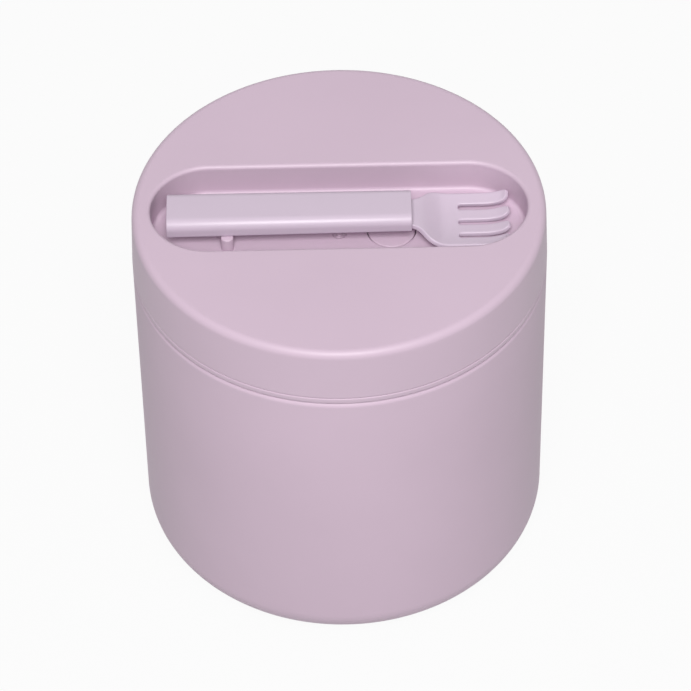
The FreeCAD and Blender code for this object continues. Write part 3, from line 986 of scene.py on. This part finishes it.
gasket_inner = 49.9
gasket_lip = 50.5
gasket_outline = [
    (gasket_inner, gasket_low.z, 0.25, 3),
    (gasket_lip, gasket_low.z, 0.25, 3),
    (gasket_lip, rim_z),
    (gasket_high.x, rim_z, 0.2, 3),
    (gasket_high.x, gasket_high.z, 0.2, 3),
    (gasket_inner, gasket_high.z),
]
rim_seal = lathe("rim_seal", gasket_outline)
install(rim_seal, seal_silicone, "seal", "lid_gasket")

# %% [markdown]
# ## The fork's handle
#
# The handle is a channel: a flat top with two generous round edges, open below. Its end outline is drawn
# once, filled, and extruded along the tray. The far end is then scaled a little narrower and lower, as
# the real handle tapers, and the end edges get a small bevel. The hole for the pin is blind, because no
# pin shows on the handle's side.

# %% Fork handle
handle_wall = 1.3
handle_round = 2.9
handle_end_width = 13.5
handle_end_height = 4.7
end_bevel = 0.24
handle_tail_width = handle_high.y - handle_low.y
handle_tail_height = handle_high.z - handle_low.z
handle_top = handle_high.z
handle_length = handle_high.x - handle_low.x
half = handle_tail_width / 2
channel_half = half - handle_wall
channel_top = handle_top - handle_wall
handle_corners = [
    (-half, handle_low.z, 0.4),
    (-half, handle_top, handle_round, 10),
    (half, handle_top, handle_round, 10),
    (half, handle_low.z, 0.4),
    (channel_half, handle_low.z, 0.3),
    (channel_half, channel_top, handle_round - handle_wall, 8),
    (-channel_half, channel_top, handle_round - handle_wall, 8),
    (-channel_half, handle_low.z, 0.3),
]
handle_places = [(handle_low.x * MM, (fork_y + c[0]) * MM, c[1] * MM) for c in handle_corners]
fork_handle = draw_line("fork_handle_shape", handle_places, closed=True)
for corner, place in zip(handle_corners, handle_places):
    segments = corner[3] if len(corner) > 3 else 3
    round_corner(place, corner[2] * MM, segments)
everything()
bpy.ops.mesh.edge_face_add()
pull(x=handle_length)
width_factor = handle_end_width / handle_tail_width
height_factor = handle_end_height / handle_tail_height
scale((1, width_factor, height_factor), (handle_high.x, fork_y, handle_top))
everything()
bpy.ops.mesh.normals_make_consistent(inside=False)
bpy.ops.mesh.select_mode(type="EDGE")
for end_x in (handle_low.x, handle_high.x):
    chosen = pick("edges", lambda place, end_x=end_x: near(place.x, end_x), keep=end_x != handle_low.x)
    print("end edges", chosen)
bpy.ops.mesh.bevel(offset=end_bevel * MM, segments=3, affect="EDGES")
close_edit(fork_handle)

pin_x = (pin_low.x + pin_high.x) / 2
pin_z = (pin_low.z + pin_high.z) / 2
pin_radius = (pin_high.z - pin_low.z) / 2


def bar_across(name, radius, width, x, z, points=48):
    """A round bar across the fork, with softened ends."""
    deselect_all()
    bpy.ops.mesh.primitive_cylinder_add(
        vertices=points, radius=radius * MM, depth=width * MM,
        location=(x * MM, fork_y * MM, z * MM), rotation=(math.pi / 2, 0, 0),
    )
    bar = bpy.context.active_object
    bar.name = name
    settle()
    return bar


pin_cover = 0.6
pin_play = 0.03
eye_play = 0.06
pin_width = handle_tail_width - 2 * pin_cover
clean(fork_handle)
pin_hole = bar_across("pin_hole", pin_radius + pin_play, pin_width, pin_x, pin_z)
carve(fork_handle, pin_hole, solver="MANIFOLD")
clean(fork_handle)
install(fork_handle, fork_plastic, "handle", "fork_handle")

# %% [markdown]
# ## The fork's head
#
# A fork is easiest as a flat grid with few faces. Eleven columns give four tines of two faces each and
# three slots of one. The slot faces are deleted, the rows are moved to their heights and widths, and the
# neck edge is extruded under the handle. A Solidify modifier gives the thickness, and a subdivision
# surface rounds the tips, the slot ends and the edges together, which is how the moulded fork looks.

# %% Rows of the fork's head
def ease(value):
    """Ease from 0 to 1 with level ends."""
    limited = min(max(value, 0.0), 1.0)
    return (1 - math.cos(math.pi * limited)) / 2


neck_x = handle_high.x
tip_x = head_high.x - 0.25
neck_half = 5.15
head_half = 10.55
shoulder_length = 7.8
drop_start = neck_x + 0.5
drop_length = 10.0
neck_top = 115.95
palm_top = 111.75
dish = 1.5
neck_dish = 0.05
tip_rise = 1.9
rise_start = tip_x - 6.2
head_thickness = 1.5
shoulder_shares = [0.0, 0.25, 0.5, 0.75, 1.0]
row_x = []
row_half = []
for share in shoulder_shares:
    along = 1.5 * share * (1 - share) + share ** 3
    across = 3 * share ** 2 - 2 * share ** 3
    row_x.append(neck_x + shoulder_length * along)
    row_half.append(neck_half + (head_half - neck_half) * across)
tine_x = [29.4, 30.8, 32.3, 33.8, 35.2, 37.6, 40.2, 42.6, 44.8, 46.5, tip_x]
row_x += tine_x
row_half += [head_half] * len(tine_x)
SLOT_ROW = 8
ROWS = len(row_x)
COLUMNS = 11
print("rows of the head", [round(x, 2) for x in row_x])

# %% Draw the head
deselect_all()
head_length = tip_x - neck_x
head_middle = (neck_x + head_length / 2, fork_y, neck_top)
bpy.ops.mesh.primitive_grid_add(
    x_subdivisions=ROWS - 1, y_subdivisions=COLUMNS, size=2 * MM,
    location=[part * MM for part in head_middle],
)
fork_head = bpy.context.active_object
fork_head.name = "fork_head_shape"
settle()
edit(fork_head)
everything()
scale((head_length / 2, head_half, 1), head_middle)
close_edit(fork_head)
even_step = head_length / (ROWS - 1)
column_step = 2 * head_half / COLUMNS
print("grid faces", len(fork_head.data.polygons), "wanted", (ROWS - 1) * COLUMNS)


def row_of(place):
    """Number of the grid row that a point is on."""
    return round((place.x / MM - neck_x) / even_step)


def column_of(place):
    """Number of the grid line that a point is on, counted from the front."""
    return round((place.y / MM - fork_y + head_half) / column_step)


edit(fork_head, "FACE")


def in_slot(place, normal):
    """Whether a face is in one of the three slots."""
    column = math.floor((place.y / MM - fork_y + head_half) / column_step)
    row = math.floor((place.x / MM - neck_x) / even_step)
    return column in (2, 5, 8) and row >= SLOT_ROW


print("slot faces", pick_faces(in_slot))
bpy.ops.mesh.delete(type="FACE")
bpy.ops.mesh.select_mode(type="VERT")
everything()
grid_points = {(row_of(place), column_of(place)): number for number, place in held_points()}

for row in range(ROWS):
    numbers = [number for (at, column), number in grid_points.items() if at == row]
    old_x = neck_x + row * even_step
    drop = ease((row_x[row] - drop_start) / drop_length)
    rise = tip_rise * (max(row_x[row] - rise_start, 0) / (tip_x - rise_start)) ** 2
    hold(numbers)
    scale((1, row_half[row] / head_half, 1), (old_x, fork_y, neck_top))
    move(x=row_x[row] - old_x, z=drop * (palm_top - neck_top) + rise)
    for column in range((COLUMNS + 1) // 2):
        mirror_column = COLUMNS - column
        pair = [grid_points[key] for key in ((row, column), (row, mirror_column)) if key in grid_points]
        side_share = (head_half - column * column_step) / (head_half + 1)
        hold(pair)
        move(z=(neck_dish + drop * (dish - neck_dish)) * side_share ** 2)

# %% [markdown]
# The outer tines are a little shorter. The last row of each tine is drawn in, and thinned once it has
# its thickness, so that the subdivision ends it in a round tip. The neck edge is extruded to the left as
# the shank that lies under the handle, and narrows to the tongue at the pin.

# %% Tips, shank and tongue
outer_short = 0.5
tip_narrowing = 0.62
for tine in range(4):
    first = tine * 3
    tip_points = [grid_points[(ROWS - 1, column)] for column in (first, first + 1, first + 2)]
    middle_y = fork_y - head_half + (first + 1) * column_step
    hold(tip_points)
    scale((1, tip_narrowing, 1), (tip_x, middle_y, palm_top))
    if tine in (0, 3):
        move(x=-outer_short)
shank_stages = [(-1.2, 1.0), (-28.0, 1.0), (-34.0, 1.0), (-0.4, 0.8), (-3.2, 1.0)]
bpy.ops.mesh.select_mode(type="EDGE")
pick("edges", lambda place: near(place.x, neck_x))
shank_x = neck_x
for step, narrowing in shank_stages:
    pull(x=step)
    shank_x += step
    scale((1, narrowing, 1), (shank_x, fork_y, neck_top))
close_edit(fork_head)
apply_modifier(
    fork_head, "SOLIDIFY", thickness=head_thickness * MM, offset=-1.0, use_even_offset=True,
    edge_crease_inner=0.35, edge_crease_outer=0.35,
)
tip_thinning = 0.55
tip_reach = 0.6
edit(fork_head)
for tine in range(4):
    middle_y = fork_y - head_half + (tine * 3 + 1) * column_step
    pick(
        "verts",
        lambda place: place.x / MM > tip_x - tip_reach and abs(place.y / MM - middle_y) < column_step,
    )
    tip_top = max(place.z for number, place in held_points()) / MM
    scale((1, 1, tip_thinning), (tip_x, middle_y, tip_top))
close_edit(fork_head)
apply_modifier(fork_head, "SUBSURF", levels=3, render_levels=3)
print("head before the eye", len(fork_head.data.polygons), "open", open_edges(fork_head))

# %% [markdown]
# The tongue ends in a round eye that is welded on and drilled for the pin. The pin is a plain steel bar
# with softened ends, short enough to stay inside the handle's sides.

# %% Eye and pin
eye_radius = 1.8
eye_width = 8.3
fork_eye = bar_across("fork_eye", eye_radius, eye_width, pin_x, pin_z, 64)
soften(fork_eye, 0.25, 3)
carve(fork_head, fork_eye, "UNION")
carve(fork_head, bar_across("pin_tool", pin_radius + eye_play, 2 * handle_tail_width, pin_x, pin_z))
clean(fork_head, 40)
install(fork_head, fork_plastic, "fork", "fork_head")

fork_pin = bar_across("fork_pin_shape", pin_radius, pin_width, pin_x, pin_z)
soften(fork_pin, 0.1)
install(fork_pin, small_steel, "handle", "fork_pin")

# %% [markdown]
# ## Pieces that keep their CAD shape
#
# What is hidden between the walls, and the spring, already have the right shape. They keep their packed
# mesh and only get a finish.

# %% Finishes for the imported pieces
kept_finishes = {
    "seal_bead": dull_metal,
    "getter": dull_metal,
    "copper_foil": copper_foil,
    "plug_foam": plug_foam,
    "vent_spring": small_steel,
}
for node, material in kept_finishes.items():
    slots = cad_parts[node].material_slots
    for index in range(len(slots)):
        slots[index].material = material
    print(node, "finished with", material.name, "in", len(slots), "slot")

# %% [markdown]
# ## Floor, light and camera
#
# The jar stands on a plain white sweep. To the camera, and in reflections, the floor and the world are
# white at a strength of 1, so the background is clean without any more light on the jar. A part of the
# floor's own shading is mixed in, and keeps a faint shadow under the jar.

# %% Floor and world
floor_drop = 0.1
deselect_all()
bpy.ops.mesh.primitive_plane_add(size=6.0, location=(0, 0, -floor_drop * MM))
floor = bpy.context.active_object
floor.name = "floor"
settle()
FLOOR_LIGHT_SHARE = 0.94
FLOOR_GREY = (0.50, 0.50, 0.50, 1)
WHITE = (1, 1, 1, 1)
WORLD_LIGHT = 0.25


def seen_directly(tree):
    """1 for rays from the camera and for reflected and refracted rays."""
    path = tree.nodes.new("ShaderNodeLightPath")
    seen = path.outputs["Is Camera Ray"]
    for ray in ("Is Glossy Ray", "Is Transmission Ray"):
        larger = tree.nodes.new("ShaderNodeMath")
        larger.operation = "MAXIMUM"
        tree.links.new(seen, larger.inputs[0])
        tree.links.new(path.outputs[ray], larger.inputs[1])
        seen = larger.outputs[0]
    return seen


floor_material = bpy.data.materials.new("white_floor")
floor_tree, floor_mix = blank_tree(floor_material, "ShaderNodeOutputMaterial", "ShaderNodeMixShader")
floor_matt = add_node(floor_tree, "ShaderNodeBsdfDiffuse", {"Color": FLOOR_GREY})
floor_glow = add_node(floor_tree, "ShaderNodeEmission", {"Strength": 1.0})
floor_share = floor_tree.nodes.new("ShaderNodeMath")
floor_share.operation = "MULTIPLY"
floor_share.inputs[1].default_value = FLOOR_LIGHT_SHARE
floor_tree.links.new(seen_directly(floor_tree), floor_share.inputs[0])
floor_tree.links.new(floor_share.outputs[0], floor_mix.inputs["Fac"])
floor_tree.links.new(floor_matt.outputs["BSDF"], floor_mix.inputs[1])
floor_tree.links.new(floor_glow.outputs["Emission"], floor_mix.inputs[2])
floor.data.materials.append(floor_material)

world = bpy.data.worlds.new("studio")
bpy.context.scene.world = world
world_tree, world_mix = blank_tree(world, "ShaderNodeOutputWorld", "ShaderNodeMixShader")
soft_sky = add_node(world_tree, "ShaderNodeBackground", {"Color": WHITE, "Strength": WORLD_LIGHT})
white_sky = add_node(world_tree, "ShaderNodeBackground", {"Color": WHITE, "Strength": 1.0})
world_tree.links.new(seen_directly(world_tree), world_mix.inputs["Fac"])
world_tree.links.new(soft_sky.outputs["Background"], world_mix.inputs[1])
world_tree.links.new(white_sky.outputs["Background"], world_mix.inputs[2])
print("floor share", FLOOR_LIGHT_SHARE, "world light", WORLD_LIGHT)

# %% [markdown]
# The photograph has one broad soft light in front of and above the jar, close to the camera's own
# direction: even the floor of the tray is lit. It fades gently towards both sides of the body. A weak
# second lamp hangs overhead.

# %% Lamps
def soft_lamp(name, place, target, size, power):
    """A square area lamp aimed at a place."""
    deselect_all()
    bpy.ops.object.light_add(type="AREA", location=place)
    lamp = bpy.context.active_object
    lamp.name = name
    lamp.data.shape = "SQUARE"
    lamp.data.size = size
    lamp.data.energy = power
    aim = Vector(target) - Vector(place)
    lamp.rotation_euler = aim.to_track_quat("-Z", "Y").to_euler()
    print(f"{name}: {power} W, {size} m wide")


soft_lamp("front_lamp", (0.0, -1.14, 1.58), (0, 0, 0.06), 0.8, 33.0)
soft_lamp("top_lamp", (0.0, -0.15, 1.8), (0, 0, 0.06), 0.9, 1.0)

# %% [markdown]
# The camera was fitted to the jar's outline in the photograph. It stands 46 degrees above the floor with
# a long lens, and leans by about one degree.

# %% Camera
lens = 200.81
elevation = math.radians(46.014)
distance = 1.12814
lean = math.radians(-1.1517)
aim_point = Vector((0, 0, 0.06))
back = Vector((0, -math.cos(elevation), math.sin(elevation)))
level_right = Vector((1, 0, 0))
level_up = back.cross(level_right)
right = math.cos(lean) * level_right + math.sin(lean) * level_up
up = -math.sin(lean) * level_right + math.cos(lean) * level_up
camera_data = bpy.data.cameras.new("photo_camera")
camera = bpy.data.objects.new("photo_camera", camera_data)
bpy.context.scene.collection.objects.link(camera)
camera_data.sensor_width = 36.0
camera_data.sensor_fit = "AUTO"
camera_data.lens = lens
camera_data.shift_x = 0.0055
camera_data.shift_y = 0.0117
camera_data.clip_start = 0.01
turn = Matrix((right, up, back)).transposed()
camera.matrix_world = Matrix.Translation(aim_point + back * distance) @ turn.to_4x4()
bpy.context.scene.camera = camera
bpy.context.scene.view_settings.view_transform = "Standard"
print("camera at", [round(part, 3) for part in camera.location])
